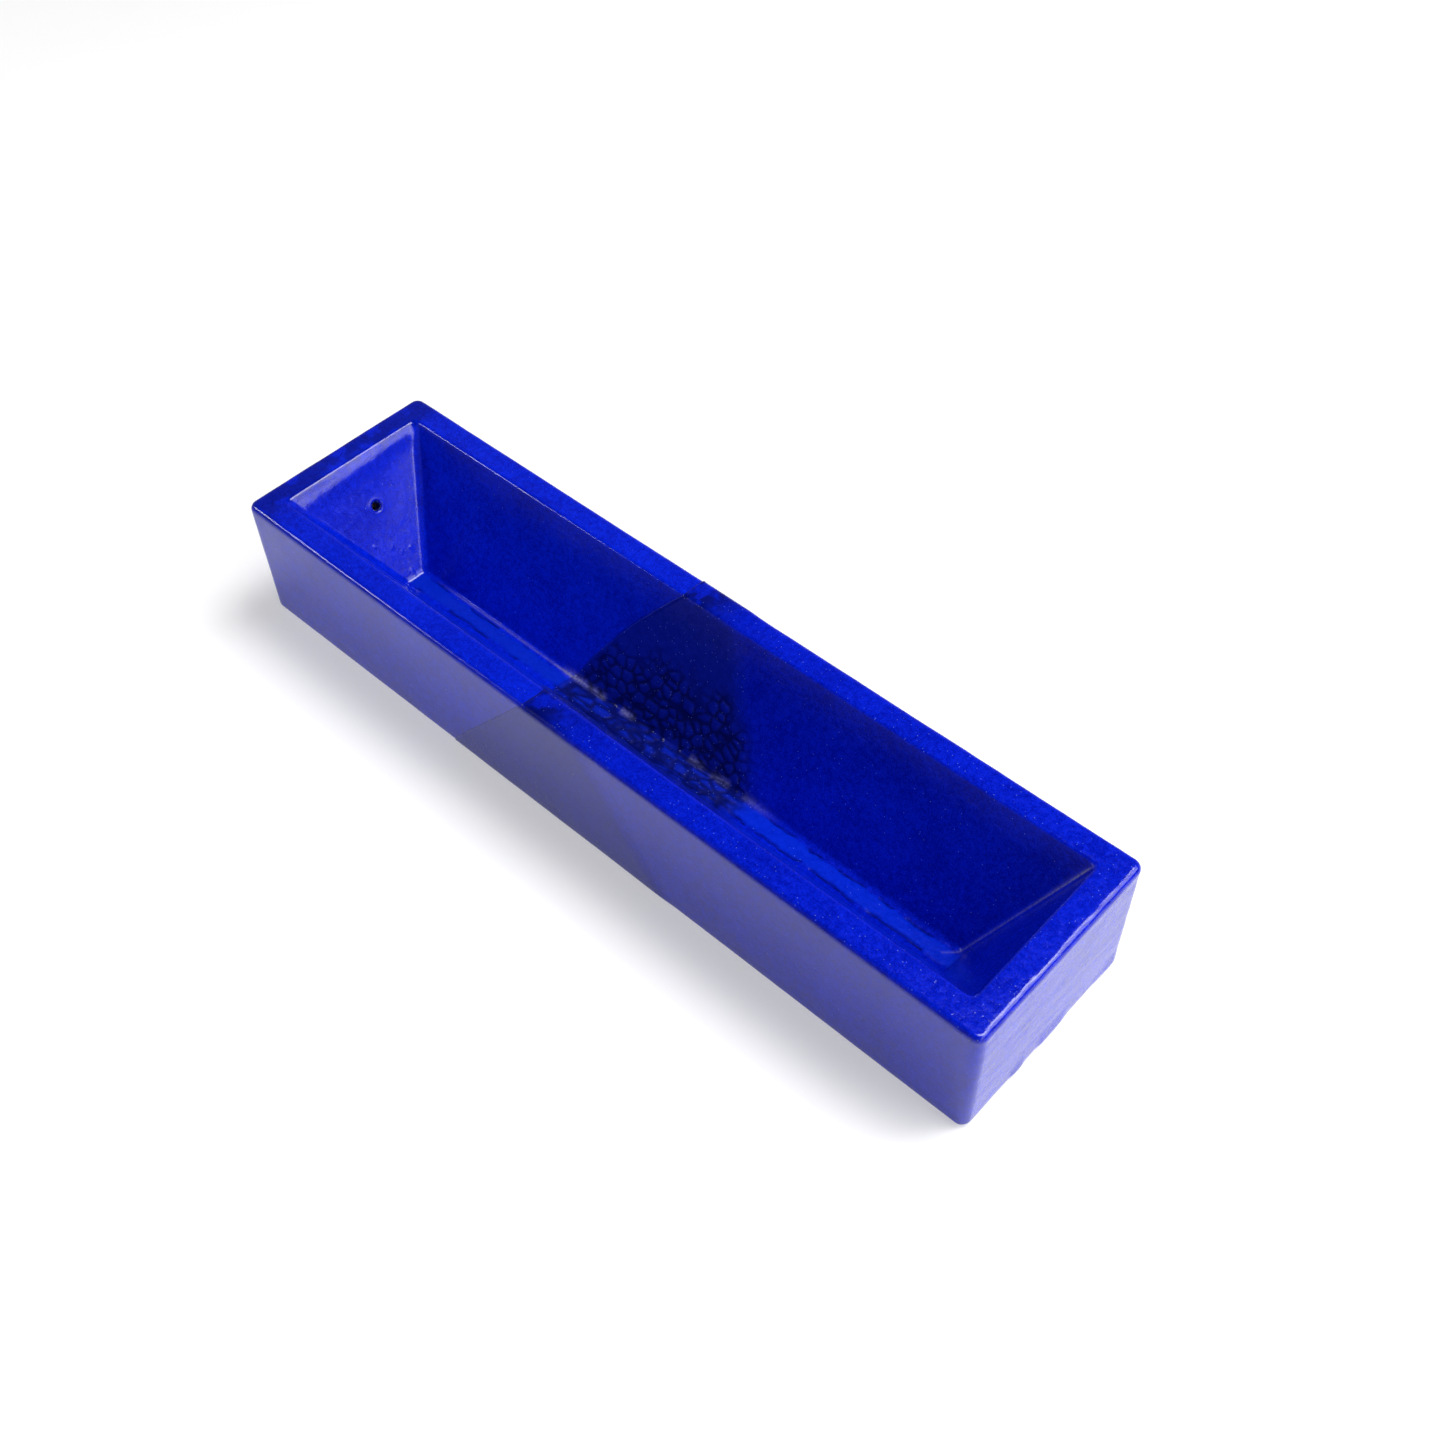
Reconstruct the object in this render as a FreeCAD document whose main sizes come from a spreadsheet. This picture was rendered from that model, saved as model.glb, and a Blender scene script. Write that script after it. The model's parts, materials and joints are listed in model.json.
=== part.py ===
"""A slip-cast, glazed incense trough: the clay body and the two glaze coats it was dipped in.

Frame: millimetres, +Z up. The origin is the middle of the footprint, on the table. The long way
of the trough is X, and the stick hole is in the end panel at -X. The trough has upright outer
walls, a flat rim, and four inner panels that slope down to a narrow floor. The mould was open
underneath, so the clay is a wall of even thickness with a hollow under the trough.
"""

import FreeCAD, Part
import os
import Sketcher
from FreeCAD import Placement, Rotation, Vector

os.makedirs("parts", exist_ok=True)

doc = FreeCAD.newDocument("incense_trough")

# Driving dimensions, in millimetres and degrees. Outer sizes are over the glaze.
DIMENSIONS = (
    ("length", 254, "overall length"),
    ("width", 62.9, "overall width"),
    ("height", 40.2, "height of the rim over the table"),
    ("rim_width", 7.8, "width of the flat rim, all round"),
    ("panel_angle", 60, "slope of the four trough panels"),
    ("floor_height", 6, "top of the trough floor over the table"),
    ("clay_wall", 4.2, "thickness of the cast clay"),
    ("hollow_height", 32, "roof of the hollow under the rim"),
    ("glaze", 0.4, "thickness of one glaze coat"),
    ("overlap_rise", 0.2, "how far the second coat stands up where it lies on the first"),
    ("glaze_line", 0.3, "lower edge of the glaze, wiped back from the foot"),
    ("corner_radius", 2.8, "upright outer corners, in plan"),
    ("top_radius", 1.7, "outer edge of the rim"),
    ("rim_radius", 1.3, "inner edge of the rim"),
    ("valley_radius", 1.8, "where panels meet each other and the floor"),
    ("foot_radius", 2, "outer bottom edge"),
    ("hollow_radius", 3, "corners and ridges inside the hollow"),
    ("foot_inner_radius", 0.9, "inner edge of the foot"),
    ("hole_diameter", 2.8, "stick hole"),
    ("hole_height", 27.1, "middle of the stick hole's mouth over the table"),
    ("hole_run_out", 2, "how far the hole's cutter runs past each side of the wall"),
    ("first_edge_top", 5, "X of the first coat's edge at the rim"),
    ("first_edge_base", 31, "X of the first coat's edge at the table"),
    ("second_edge_top", -13, "X of the second coat's edge at the rim"),
    ("second_edge_base", -47, "X of the second coat's edge at the table"),
    ("edge_lap", 1, "how far the second coat runs past the first coat's edge at full height"),
    ("dip_margin", 10, "how far a dip reaches past the trough"),
)

sheet = doc.addObject("Spreadsheet::Sheet", "dimensions")
for row, (alias, value, meaning) in enumerate(DIMENSIONS, start=1):
    sheet.set(f"A{row}", meaning)
    sheet.set(f"B{row}", str(value))
    sheet.setAlias(f"B{row}", alias)
doc.recompute()

# Depths below the glazed surface, as expressions.
GLAZED = "0"
DOUBLE_GLAZED = "(-dimensions.overlap_rise)"
BARE_CLAY = "dimensions.glaze"
INNER_CLAY = "(dimensions.glaze + dimensions.clay_wall)"

# Two lengths within this are the same when edges are picked by where they lie.
CLOSE = 0.01


def value_of(expression):
    """The number that an expression gives now."""
    return float(sheet.evalExpression(expression))


def panel_reach(side, level, depth):
    """Expression for half the trough's size at a level, `depth` inside the glazed surface.
    `side` is the outer size the same way: dimensions.length or dimensions.width."""
    return (
        f"({side} / 2 - dimensions.rim_width"
        f" - (dimensions.height - {level}) / tan(dimensions.panel_angle)"
        f" + {depth} / sin(dimensions.panel_angle))"
    )


def new_body(name):
    """An empty body at the document's origin."""
    body = doc.addObject("PartDesign::Body", name)
    body.Label = name
    body.Placement = Placement(Vector(0, 0, 0), Rotation(0, 0, 0))
    return body


def origin_plane(body, role):
    """One of the body's own origin planes, such as XY_Plane."""
    return next(feature for feature in body.Origin.OriginFeatures if feature.Role == role)


def new_sketch(body, name, role, level="0"):
    """A sketch on one of the body's origin planes, raised by `level`."""
    sketch = body.newObject("Sketcher::SketchObject", name)
    sketch.AttachmentSupport = [(origin_plane(body, role), "")]
    sketch.MapMode = "FlatFace"
    sketch.setExpression("AttachmentOffset.Base.z", level)
    return sketch


def bind(sketch, name, kind, places, expression):
    """Adds a named dimension to a sketch and binds it to the spreadsheet."""
    constraint = Sketcher.Constraint(kind, *places, value_of(expression))
    sketch.renameConstraint(sketch.addConstraint(constraint), name)
    sketch.setExpression(f"Constraints.{name}", expression)


def draw_loop(sketch, points):
    """Straight lines from point to point and back to the first."""
    count = len(points)
    for i in range(count):
        sketch.addGeometry(Part.LineSegment(points[i], points[(i + 1) % count]), False)
    for i in range(count):
        sketch.addConstraint(Sketcher.Constraint("Coincident", i, 2, (i + 1) % count, 1))


def draw_rectangle(sketch, half_x, half_y):
    """A rectangle about the origin, from expressions for half its sides."""
    reach_x = value_of(half_x)
    reach_y = value_of(half_y)
    signs = ((-1, -1), (1, -1), (1, 1), (-1, 1))
    draw_loop(sketch, [Vector(reach_x * sx, reach_y * sy, 0) for sx, sy in signs])
    for side in range(4):
        direction = "Horizontal" if side % 2 == 0 else "Vertical"
        sketch.addConstraint(Sketcher.Constraint(direction, side))
    sketch.addConstraint(Sketcher.Constraint("Symmetric", 0, 1, 1, 2, -1, 1))
    bind(sketch, "across_x", "DistanceX", (0, 1, 0, 2), f"2 * {half_x}")
    bind(sketch, "across_y", "DistanceY", (1, 1, 1, 2), f"2 * {half_y}")


def pad(body, sketch, name, length, taper="0", down=False):
    """Adds the sketch's outline to the body, upwards or downwards from its plane."""
    feature = body.newObject("PartDesign::Pad", name)
    feature.Profile = sketch
    feature.Reversed = down
    feature.setExpression("Length", length)
    feature.setExpression("TaperAngle", taper)
    return feature


def pocket(body, sketch, name, length, taper="0", up=False):
    """Cuts the sketch's outline out of the body, and checks that something was removed."""
    doc.recompute()
    before = body.Shape.Volume
    feature = body.newObject("PartDesign::Pocket", name)
    feature.Profile = sketch
    feature.Reversed = up
    feature.setExpression("Length", length)
    feature.setExpression("TaperAngle", taper)
    doc.recompute()
    assert body.Shape.Volume < before, f"{name} cuts nothing"


def fillet(body, name, radius, wanted):
    """Rounds every edge of the body that `wanted` accepts."""
    doc.recompute()
    base = body.Tip
    edges = [f"Edge{i}" for i, edge in enumerate(base.Shape.Edges, start=1) if wanted(edge)]
    assert edges, f"{name} has no edges"
    feature = body.newObject("PartDesign::Fillet", name)
    feature.Base = (base, edges)
    feature.setExpression("Radius", radius)
    doc.recompute()


def spans(edge, low, high):
    """True for an edge whose lowest and highest points are at these heights."""
    box = edge.BoundBox
    return abs(box.ZMin - low) < CLOSE and abs(box.ZMax - high) < CLOSE


def is_within(edge, half_x, half_y):
    """True for an edge whose middle is less than this far from the origin both ways."""
    point = edge.valueAt((edge.FirstParameter + edge.LastParameter) / 2)
    return abs(point.x) < value_of(half_x) and abs(point.y) < value_of(half_y)


def add_outer_block(body, depth):
    """The upright outer walls with a flat top and bottom, `depth` inside the glazed surface,
    and with their edges rounded."""
    bottom = f"({depth} - dimensions.glaze)"
    top = f"(dimensions.height - {depth})"
    plan = new_sketch(body, "block_plan", "XY_Plane", bottom)
    draw_rectangle(
        plan,
        f"(dimensions.length / 2 - {depth})",
        f"(dimensions.width / 2 - {depth})",
    )
    pad(body, plan, "block", f"{top} - {bottom}")
    low = value_of(bottom)
    high = value_of(top)
    rounds = (
        ("corner_edges", "corner_radius", lambda edge: spans(edge, low, high)),
        ("top_edges", "top_radius", lambda edge: spans(edge, high, high)),
        ("foot_edges", "foot_radius", lambda edge: spans(edge, low, low)),
    )
    for name, radius, wanted in rounds:
        fillet(body, name, f"dimensions.{radius} - {depth}", wanted)


def hollow_out(body):
    """The hollow that the open mould leaves: the clay stays clay_wall thick behind the outer
    walls and under the trough, and the corners are rounded as cast slip rounds them."""
    half_x = f"(dimensions.length / 2 - {INNER_CLAY})"
    half_y = f"(dimensions.width / 2 - {INNER_CLAY})"
    roof = "dimensions.hollow_height"
    under_floor = f"(dimensions.floor_height - {INNER_CLAY})"
    high = value_of(roof)
    low = value_of(under_floor)

    plan = new_sketch(body, "hollow_plan", "XY_Plane")
    draw_rectangle(plan, half_x, half_y)
    pocket(body, plan, "hollow", roof, up=True)
    radius = "dimensions.hollow_radius"
    fillet(body, "hollow_corners", radius, lambda edge: spans(edge, 0, high))

    underside = new_sketch(body, "trough_underside", "XY_Plane", roof)
    draw_rectangle(
        underside,
        panel_reach("dimensions.length", roof, INNER_CLAY),
        panel_reach("dimensions.width", roof, INNER_CLAY),
    )
    taper = "dimensions.panel_angle - 90"
    pad(body, underside, "trough_back", f"{roof} - {under_floor}", taper=taper, down=True)
    fillet(
        body,
        "ridges",
        radius,
        lambda edge: spans(edge, low, high) or spans(edge, low, low),
    )
    fillet(
        body,
        "foot_inner_edges",
        "dimensions.foot_inner_radius",
        lambda edge: spans(edge, 0, 0)
        and is_within(
            edge,
            f"{half_x} + dimensions.clay_wall / 2",
            f"{half_y} + dimensions.clay_wall / 2",
        ),
    )


def cut_trough(body, depth):
    """The trough, `depth` inside its glazed surface: four panels down to the floor, with
    rounded valleys and a rounded inner edge to the rim."""
    top = f"(dimensions.height - {depth})"
    floor = f"(dimensions.floor_height - {depth})"
    high = value_of(top)
    low = value_of(floor)
    opening = new_sketch(body, "trough_opening", "XY_Plane", top)
    draw_rectangle(
        opening,
        panel_reach("dimensions.length", top, depth),
        panel_reach("dimensions.width", top, depth),
    )
    taper = "dimensions.panel_angle - 90"
    pocket(body, opening, "trough", f"{top} - {floor}", taper=taper)
    fillet(
        body,
        "valleys",
        f"dimensions.valley_radius + {depth}",
        lambda edge: spans(edge, low, high) or spans(edge, low, low),
    )
    fillet(
        body,
        "rim_inner_edges",
        f"dimensions.rim_radius - {depth}",
        lambda edge: spans(edge, high, high)
        and is_within(
            edge,
            "(dimensions.length - dimensions.rim_width) / 2",
            "(dimensions.width - dimensions.rim_width) / 2",
        ),
    )


def bore_stick_hole(body):
    """The stick hole, square to the end panel, from the trough through to the hollow."""
    mouth = panel_reach("dimensions.length", "dimensions.hole_height", GLAZED)
    back = f"({INNER_CLAY} + dimensions.hole_run_out)"
    hole = body.newObject("PartDesign::SubtractiveCylinder", "stick_hole")
    hole.AttachmentSupport = [(origin_plane(body, "XY_Plane"), "")]
    hole.MapMode = "FlatFace"
    hole.AttachmentOffset = Placement(Vector(0, 0, 0), Rotation(Vector(0, 1, 0), 1))
    bindings = {
        "Radius": "dimensions.hole_diameter / 2",
        "Height": f"{back} + dimensions.hole_run_out",
        "AttachmentOffset.Rotation.Angle": "dimensions.panel_angle",
        "AttachmentOffset.Base.x": f"-{mouth} - {back} * sin(dimensions.panel_angle)",
        "AttachmentOffset.Base.z": (
            f"dimensions.hole_height - {back} * cos(dimensions.panel_angle)"
        ),
    }
    for name, expression in bindings.items():
        hole.setExpression(name, expression)
    doc.recompute()


def make_clay_body():
    """The cast clay body: outer walls, rim, trough panels, floor and stick hole."""
    body = new_body("clay_body")
    add_outer_block(body, BARE_CLAY)
    hollow_out(body)
    cut_trough(body, BARE_CLAY)
    bore_stick_hole(body)
    return body


def make_form(name, depth):
    """The trough as a block with no hollow, `depth` inside the glazed surface."""
    form = new_body(name)
    add_outer_block(form, depth)
    cut_trough(form, depth)
    bore_stick_hole(form)
    return form


def make_dip(name, end_x, edge_top, edge_base):
    """Everything that one dip wets: from one end to the slanted line where the glaze stood,
    and down to the line where the foot was wiped."""
    body = new_body(name)
    profile = new_sketch(body, "dip_profile", "XZ_Plane")
    low = "dimensions.glaze_line"
    high = "(dimensions.height + dimensions.dip_margin)"
    slope = f"({edge_top} - {edge_base}) / dimensions.height"
    corners = (
        (end_x, low),
        (f"{edge_base} + {slope} * {low}", low),
        (f"{edge_base} + {slope} * {high}", high),
        (end_x, high),
    )
    draw_loop(profile, [Vector(value_of(x), value_of(z), 0) for x, z in corners])
    for i, (across, up) in enumerate(corners):
        bind(profile, f"across_{i}", "DistanceX", (-1, 1, i, 1), across)
        bind(profile, f"up_{i}", "DistanceY", (-1, 1, i, 1), up)
    slab = pad(body, profile, "slab", "dimensions.width + 2 * dimensions.dip_margin")
    slab.SideType = "Symmetric"
    doc.recompute()
    return body


def combine(kind, label, base, tool):
    """A boolean of two solids: kind is Common, Cut or Fuse."""
    result = doc.addObject(f"Part::{kind}", label)
    result.Base = base
    result.Tool = tool
    result.Label = label
    result.Placement = Placement(Vector(0, 0, 0), Rotation(0, 0, 0))
    doc.recompute()
    return result


clay_body = make_clay_body()
clay_form = make_form("clay_form", BARE_CLAY)
glazed_form = make_form("glazed_form", GLAZED)
double_glazed_form = make_form("double_glazed_form", DOUBLE_GLAZED)

HOLE_END = "(-dimensions.length / 2 - dimensions.dip_margin)"
PLAIN_END = "(dimensions.length / 2 + dimensions.dip_margin)"
first_dip = make_dip(
    "first_dip", HOLE_END, "dimensions.first_edge_top", "dimensions.first_edge_base"
)
second_dip = make_dip(
    "second_dip", PLAIN_END, "dimensions.second_edge_top", "dimensions.second_edge_base"
)

# The first coat covers the clay from the stick-hole end to its slanted edge.
first_wet = combine("Common", "first_wet", glazed_form, first_dip)
first_glaze_coat = combine("Cut", "first_glaze_coat", first_wet, clay_form)

# The second coat covers the clay from the plain end. Where it climbs over the first coat it
# stands higher, from its own edge to just past the first coat's edge.
lapped_dip = make_dip(
    "lapped_dip",
    HOLE_END,
    "(dimensions.first_edge_top + dimensions.edge_lap)",
    "(dimensions.first_edge_base + dimensions.edge_lap)",
)
raised_band = combine("Common", "raised_band", lapped_dip, second_dip)
raised_wet = combine("Common", "raised_wet", double_glazed_form, raised_band)
second_wet = combine("Common", "second_wet", glazed_form, second_dip)
second_outside = combine("Fuse", "second_outside", second_wet, raised_wet)
second_over_first = combine("Cut", "second_over_first", second_outside, first_wet)
second_glaze_coat = combine("Cut", "second_glaze_coat", second_over_first, clay_form)

SUB_PARTS = (clay_body, first_glaze_coat, second_glaze_coat)

for item in doc.Objects:
    assert not {"Invalid", "Error"} & set(item.State), f"{item.Label} failed: {item.State}"
for sub_part in SUB_PARTS:
    shape = sub_part.Shape
    assert not shape.isNull() and shape.isValid(), f"{sub_part.Label} has no valid shape"
    assert len(shape.Solids) == 1, f"{sub_part.Label} is {len(shape.Solids)} solids"

for sub_part in SUB_PARTS:
    sub_part.Shape.exportStep(f"parts/{sub_part.Label}.step")
    print(f"{sub_part.Label}: {sub_part.Shape.Volume:.0f} mm3")
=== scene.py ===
"""Looks for the glazed incense trough: its two overlapping glaze coats, its clay, and a studio.

Lengths are millimetres until a mesh is made, and metres in Blender. The frame is the CAD's: origin
in the middle of the footprint, +X from the stick-hole end to the plain end, +Z up.
"""

import itertools
import json
import math

import bpy
import numpy as np
from mathutils import Matrix, Vector


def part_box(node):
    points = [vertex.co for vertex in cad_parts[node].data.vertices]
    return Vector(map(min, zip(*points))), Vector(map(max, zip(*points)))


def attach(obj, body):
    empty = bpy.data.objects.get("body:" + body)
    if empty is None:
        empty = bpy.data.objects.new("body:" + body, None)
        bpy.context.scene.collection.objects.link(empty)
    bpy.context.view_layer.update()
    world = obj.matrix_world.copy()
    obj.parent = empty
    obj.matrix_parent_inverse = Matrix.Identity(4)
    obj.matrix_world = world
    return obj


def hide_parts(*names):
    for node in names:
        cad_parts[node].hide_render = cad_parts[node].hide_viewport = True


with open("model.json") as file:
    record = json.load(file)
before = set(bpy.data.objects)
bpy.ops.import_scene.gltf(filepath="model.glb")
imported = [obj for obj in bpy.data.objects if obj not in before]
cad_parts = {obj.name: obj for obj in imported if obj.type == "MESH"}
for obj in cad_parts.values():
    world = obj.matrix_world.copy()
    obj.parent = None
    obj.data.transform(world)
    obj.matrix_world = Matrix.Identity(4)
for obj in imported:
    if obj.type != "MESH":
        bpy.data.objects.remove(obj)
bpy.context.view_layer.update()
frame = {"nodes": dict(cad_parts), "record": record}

MM = 0.001

# The trough's size over one glaze coat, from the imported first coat.
coat_low, coat_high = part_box("first_glaze_coat")
HALF_LENGTH = -coat_low.x / MM
HALF_WIDTH = coat_high.y / MM
HEIGHT = coat_high.z / MM
GLAZE_LINE = coat_low.z / MM

# The shape, as part.py has it.
RIM_WIDTH = 7.8
PANEL_ANGLE = math.radians(60)
FLOOR_HEIGHT = 6.0
CORNER_RADIUS = 2.8
TOP_RADIUS = 1.7
RIM_RADIUS = 1.3
VALLEY_RADIUS = 1.8
FOOT_RADIUS = 2.0
OVERLAP_RISE = 0.2

# One coat's thickness: a little under part.py's 0.4, so that its clay side stays clear of the clay.
GLAZE = 0.38

# The stick hole: where its mouth is, from the record's mount, and the rounded glaze lip round it,
# as rings of radius and height over the panel.
stick_hole = next(m for m in frame["record"]["mounts"] if m["name"] == "stick_hole")
HOLE_AXIS = np.array(stick_hole["axis"])
HOLE_MOUTH = np.array(stick_hole["pos_m"]) / MM + HOLE_AXIS * stick_hole["dims"]["length_mm"] / 2
HOLE_LIP = (
    (2.75, 0.02), (2.4, 0.05), (2.1, 0.09), (1.9, 0.07), (1.72, -0.02), (1.56, -0.16),
    (1.44, -0.34), (1.36, -0.6), (1.33, -1.1), (1.32, -2.6), (1.32, -4.3),
)

# The coat's clay side runs down the hole a little inside the clay's radius of 1.4.
HOLE_CLAY_RADIUS = 1.385
HOLE_CLAY_SIDE = ((HOLE_CLAY_RADIUS, -GLAZE - 0.02), (HOLE_CLAY_RADIUS, HOLE_LIP[-1][1]))

# Below this height the hole's lip is painted dark with the groove colour: painted shade down the hole.
HOLE_SHADE_HEIGHT = -0.3

# The clay side has one row and column for this many of the skin's.
COARSE = 4

# Rows of the skin's grid along each part of the trough's section, from the foot inwards.
FOOT_ROWS = 4
WALL_ROWS = 40
TOP_ROWS = 8
RIM_ROWS = 8
RIM_EDGE_ROWS = 8
UPPER_PANEL_ROWS = 16
LOWER_PANEL_ROWS = 56
VALLEY_ROWS = 6
FLOOR_ROWS = 6
HOLE_ROW = FOOT_ROWS + WALL_ROWS + TOP_ROWS + RIM_ROWS + RIM_EDGE_ROWS + UPPER_PANEL_ROWS

# The block of the grid that the rings round the stick hole replace: how many rows and columns it
# reaches from the hole's middle.
HOLE_BLOCK_ABOVE = 4
HOLE_BLOCK_BELOW = 8
HOLE_BLOCK_SIDE = 8

# Each coat's columns along the overlap, the side, a corner and the end. The side's begin this far
# towards +X from the other coat's edge.
FIRST_SPANS = (28, 100, 8, 64)
FIRST_SIDE_START = 2
SECOND_SPANS = (148, 96, 8, 64)
SECOND_SIDE_START = 4


# ---------------------------------------------------------------- repeatable noise

# Large whole numbers that scatter a point's coordinates and its seed.
HASH_X = 374761393
HASH_Y = 668265263
HASH_Z = 1440662683
HASH_SEED = 1274126177
LOW_32_BITS = 0xFFFFFFFF
LOW_24_BITS = 0xFFFFFF


def smooth(value, low, high):
    """0 at `low` and 1 at `high`, with an even turn between."""
    t = np.clip((value - low) / (high - low), 0, 1)
    return t * t * (3 - 2 * t)


def bell(value, middle, width):
    """1 at `middle`, falling away over `width`."""
    return np.exp(-((value - middle) / width) ** 2)


def lattice(cells, seed):
    """A repeatable value from 0 to 1 for each whole-number point."""
    x, y, z = np.moveaxis(cells, -1, 0)
    n = (x * HASH_X + y * HASH_Y + z * HASH_Z + seed * HASH_SEED) & LOW_32_BITS
    n = ((n ^ (n >> 13)) * HASH_SEED) & LOW_32_BITS
    n = n ^ (n >> 16)
    return (n & LOW_24_BITS) / LOW_24_BITS


def noise(points, size, seed):
    """Smooth noise from -1 to 1, with lumps `size` mm apart. `size` may differ per axis."""
    scaled = points / np.array(size)
    cells = np.floor(scaled).astype(np.int64)
    part = scaled - cells
    part = part * part * (3 - 2 * part)
    total = 0
    for corner in itertools.product((0, 1), repeat=3):
        weight = np.prod(np.where(np.array(corner) == 1, part, 1 - part), axis=-1)
        total = total + weight * lattice(cells + np.array(corner), seed)
    return 2 * total - 1


def cell_gap(points, size, seed):
    """How far each point is from the border between crawled cells, in mm."""
    size = np.array(size, float)
    scaled = points / size
    cells = np.floor(scaled).astype(np.int64)
    near = np.full(points.shape[:-1], 9.0)
    second = near.copy()
    for step in itertools.product((-1, 0, 1), repeat=3):
        cell = cells + np.array(step)
        middle = np.stack([cell[..., k] + 0.1 + 0.8 * lattice(cell, seed + k) for k in range(3)], -1)
        away = np.linalg.norm(middle - scaled, axis=-1)
        second = np.minimum(second, np.maximum(near, away))
        near = np.minimum(near, away)
    return (second - near) * size.min() / 2


# ---------------------------------------------------------------- where each dip ends

# X where each edge crosses the rim, how far it leans per mm of Y, and how far per mm of height
# on the outer walls and on the inner panels.
SECOND_EDGE_X, SECOND_SKEW, SECOND_OUTER_SLOPE, SECOND_INNER_SLOPE = -13.0, 0.075, 0.837, 0.69
FIRST_EDGE_X, FIRST_SKEW, FIRST_OUTER_SLOPE, FIRST_INNER_SLOPE = 5.1, 0.08, 0.78, 0.68
SECOND_EDGE_BOW = 2.4


def edge_blend(inset):
    """0 on the outer walls and 1 on the inner panels, turning over the rim."""
    return smooth(inset, 0, RIM_WIDTH)


def second_edge(inset, y, z):
    """X of the second coat's own edge. It covers the plain end, past this."""
    slope = SECOND_OUTER_SLOPE + (SECOND_INNER_SLOPE - SECOND_OUTER_SLOPE) * edge_blend(inset)
    down = HEIGHT - z
    arch = np.sin(np.pi * np.clip(down / (HEIGHT - FLOOR_HEIGHT), 0, 1))
    bow = SECOND_EDGE_BOW * edge_blend(inset) * arch
    place = np.stack([y * 0, y, z], -1)
    wander = 0.35 * noise(place, 7, 11) + 0.12 * noise(place, 2.2, 12)
    return SECOND_EDGE_X + SECOND_SKEW * y - slope * down - bow + wander


def first_edge(inset, y, z):
    """X of the first coat's edge, which shows through the second. It covers the stick-hole end."""
    slope = FIRST_OUTER_SLOPE + (FIRST_INNER_SLOPE - FIRST_OUTER_SLOPE) * edge_blend(inset)
    place = np.stack([y * 0, y, z], -1)
    wander = 0.9 * noise(place, 9, 13) + 0.3 * noise(place, 3, 14)
    return FIRST_EDGE_X + FIRST_SKEW * y + slope * (HEIGHT - z) + wander


# ---------------------------------------------------------------- the trough's surface as a grid

def turn(centre_inset, centre_z, radius, start, end, count):
    """Points round an arc of the profile, without its last one. 0 degrees faces the trough's
    middle and 90 up. Each is inset, height, and the way out of the surface there."""
    angles = np.radians(np.linspace(start, end, count + 1)[:-1])
    cos, sin = np.cos(angles), np.sin(angles)
    facing = np.sign(radius)
    return np.stack([
        centre_inset + abs(radius) * cos * facing, centre_z + abs(radius) * sin * facing, cos, sin,
    ], -1)


def run(start, end, count, facing, last=False):
    """Points along a straight part of the profile, without its last one unless `last`."""
    t = np.linspace(0, 1, count + 1)[: None if last else -1, None]
    points = np.array(start) * (1 - t) + np.array(end) * t
    return np.concatenate([points, np.tile(facing, (len(t), 1))], 1)


def make_profile():
    """The section from the foot, up the outer wall, over the rim and down to the floor's middle."""
    half_angle = math.tan(PANEL_ANGLE / 2)
    sin, cos = math.sin(PANEL_ANGLE), math.cos(PANEL_ANGLE)
    rim_cut = RIM_RADIUS * half_angle
    rim_end = (RIM_WIDTH - rim_cut, HEIGHT)
    panel_top = (RIM_WIDTH + rim_cut * cos, HEIGHT - rim_cut * sin)
    valley_cut = VALLEY_RADIUS * half_angle
    floor_start = RIM_WIDTH + (HEIGHT - FLOOR_HEIGHT) / math.tan(PANEL_ANGLE)
    panel_end = (floor_start - valley_cut * cos, FLOOR_HEIGHT + valley_cut * sin)
    floor_side = floor_start + valley_cut
    hole_z = HOLE_MOUTH[2]
    hole_row = (RIM_WIDTH + (HEIGHT - hole_z) / math.tan(PANEL_ANGLE), hole_z)
    foot_angle = 180 + math.degrees(math.asin((FOOT_RADIUS - GLAZE_LINE) / FOOT_RADIUS))
    wall_top = HEIGHT - TOP_RADIUS
    facing = (sin, cos)
    return np.concatenate([
        turn(FOOT_RADIUS, FOOT_RADIUS, FOOT_RADIUS, foot_angle, 180, FOOT_ROWS),
        run((0, FOOT_RADIUS), (0, wall_top), WALL_ROWS, (-1, 0)),
        turn(TOP_RADIUS, wall_top, TOP_RADIUS, 180, 90, TOP_ROWS),
        run((TOP_RADIUS, HEIGHT), rim_end, RIM_ROWS, (0, 1)),
        turn(rim_end[0], HEIGHT - RIM_RADIUS, RIM_RADIUS, 90, 30, RIM_EDGE_ROWS),
        run(panel_top, hole_row, UPPER_PANEL_ROWS, facing),
        run(hole_row, panel_end, LOWER_PANEL_ROWS, facing),
        turn(floor_side, FLOOR_HEIGHT + VALLEY_RADIUS, -VALLEY_RADIUS, 30, 90, VALLEY_ROWS),
        run((floor_side, FLOOR_HEIGHT), (HALF_WIDTH, FLOOR_HEIGHT), FLOOR_ROWS, (0, 1), True),
    ])


PROFILE = make_profile()
ROWS = len(PROFILE)

# Corner radius of the inner panels, seen from above, and the largest share of a loop's half
# width that a corner may take.
INNER_CORNER_RADIUS = 2.1
MAX_CORNER_SHARE = 0.9


def plan_radius(inset, half_y):
    """Corner radius of the loop at this inset, seen from above."""
    outside = max(CORNER_RADIUS - inset, CORNER_RADIUS - TOP_RADIUS)
    inside = outside + (INNER_CORNER_RADIUS - outside) * float(smooth(inset, TOP_RADIUS, RIM_WIDTH))
    return min(inside, MAX_CORNER_SHARE * half_y)


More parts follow.
